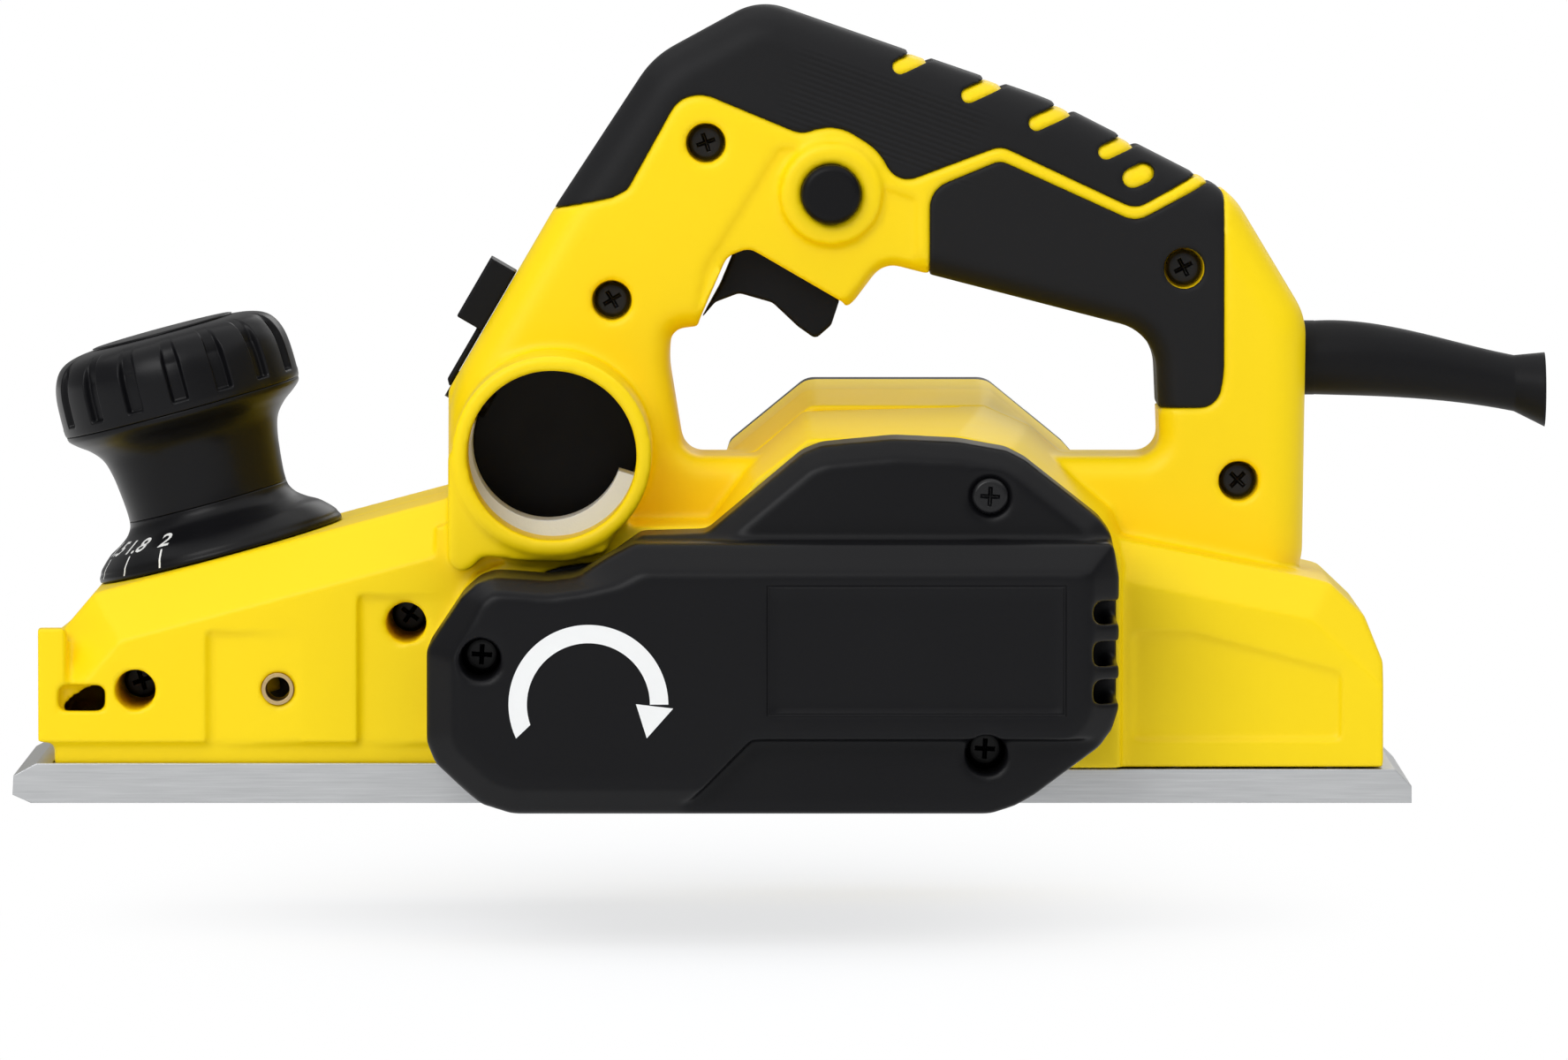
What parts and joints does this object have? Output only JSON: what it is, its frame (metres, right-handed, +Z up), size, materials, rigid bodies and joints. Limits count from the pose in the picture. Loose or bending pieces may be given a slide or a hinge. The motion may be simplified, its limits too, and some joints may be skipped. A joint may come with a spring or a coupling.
{
  "type": "hand-held electric planer",
  "caption": "Hand-held electric wood planer with a D-handle, front depth knob, split sole, side belt drive and cross chip port.",
  "frame": {"origin": "middle of the sole's width on its sliding face, half way along the sole", "axes": "+X towards the tail and the cord sleeve, -X is the leading end, -Y the belt side, +Z up from the sole"},
  "size_m": [0.3192, 0.157, 0.1644],
  "materials": {
    "housing_yellow": "satin",
    "cover_black": "satin",
    "grip_rubber": "soft touch",
    "cast_aluminium": "brushed",
    "machined_steel": "machined",
    "screw_steel": "black oxide",
    "blade_steel": "ground",
    "brass": "turned",
    "copper": "enamelled wire",
    "carbon": "pressed carbon",
    "belt_rubber": "matt",
    "liner_grey": "smooth",
    "switch_grey": "matt"
  },
  "bodies": {
    "body": {"left_housing": "housing_yellow", "right_housing": "housing_yellow", "left_upper_grip": "grip_rubber", "left_lower_grip": "grip_rubber", "right_upper_grip": "grip_rubber", "right_lower_grip": "grip_rubber", "rear_sole": "cast_aluminium", "sole_screws": "machined_steel", "belt_cover": "cover_black", "cover_screws": "screw_steel", "bearing_bracket": "cast_aluminium", "bracket_screws": "machined_steel", "drum_bearings": "machined_steel", "motor_bearings": "machined_steel", "drive_belt": "belt_rubber", "drum_side_plate": "cover_black", "side_plate_screws": "screw_steel", "motor_end_cover": "cover_black", "end_cover_screws": "screw_steel", "stator_core": "machined_steel", "field_coils": "copper", "brush_holders": "brass", "carbon_brushes": "carbon", "brush_springs": "machined_steel", "housing_screws": "screw_steel", "switch_body": "switch_grey", "strain_relief": "grip_rubber", "fence_inserts": "brass", "port_liners": "liner_grey", "spindle_bush": "brass", "trigger_pin": "machined_steel"},
    "front_shoe": {"front_shoe": "cast_aluminium", "shoe_guide_pins": "machined_steel"},
    "depth_knob": {"knob_skirt": "cover_black", "knob_body": "cover_black", "knob_cap": "grip_rubber", "knob_disc": "cover_black", "depth_spindle": "machined_steel", "spindle_nut": "machined_steel"},
    "cutter_drum": {"drum_core": "cast_aluminium", "drum_blades": "blade_steel", "blade_clamps": "machined_steel", "blade_screws": "machined_steel", "drum_pulley": "cast_aluminium", "pulley_nut": "machined_steel"},
    "motor_rotor": {"rotor_shaft": "machined_steel", "rotor_core": "machined_steel", "rotor_windings": "copper", "commutator": "copper", "motor_fan": "switch_grey", "motor_pulley": "machined_steel"},
    "trigger": {"trigger": "cover_black"},
    "lock_button": {"lock_button": "cover_black"},
    "chip_selector": {"selector_lever": "cover_black", "selector_flap": "cover_black"}
  },
  "joints": [
    {"name": "shoe_slide", "type": "slide", "parent": "body", "child": "front_shoe", "axis": [-0.2588, 0, 0.9659], "range_m": [0, 0.00207]},
    {"name": "knob_turn", "type": "hinge", "parent": "body", "child": "depth_knob", "pos_m": [-0.1032, 0, 0.05], "axis": [0.2588, 0, -0.9659], "range_deg": [0, 180]},
    {"name": "drum_spin", "type": "hinge", "parent": "body", "child": "cutter_drum", "pos_m": [-0.025, 0, 0.0235], "axis": [0, 1, 0], "continuous": true},
    {"name": "motor_spin", "type": "hinge", "parent": "body", "child": "motor_rotor", "pos_m": [0.041, 0, 0.049], "axis": [0, 1, 0], "continuous": true},
    {"name": "trigger_pull", "type": "hinge", "parent": "body", "child": "trigger", "pos_m": [0.008, 0, 0.1215], "axis": [0, -1, 0], "range_deg": [0, 8], "stiffness_Nm_per_rad": 0.4, "springref_deg": -14.32},
    {"name": "lock_press", "type": "slide", "parent": "body", "child": "lock_button", "axis": [0, 1, 0], "range_m": [0, 0.003], "stiffness_N_per_m": 400, "springref_m": -0.003},
    {"name": "selector_swing", "type": "hinge", "parent": "body", "child": "chip_selector", "pos_m": [-0.033, 0, 0.0724], "axis": [-0.8644, 0, 0.5027], "range_deg": [-30, 30]}
  ],
  "couplings": [
    {"joint": "knob_turn", "follows": "shoe_slide", "rad_per_m": 1517.7},
    {"joint": "motor_spin", "follows": "drum_spin", "ratio": 1.6}
  ]
}
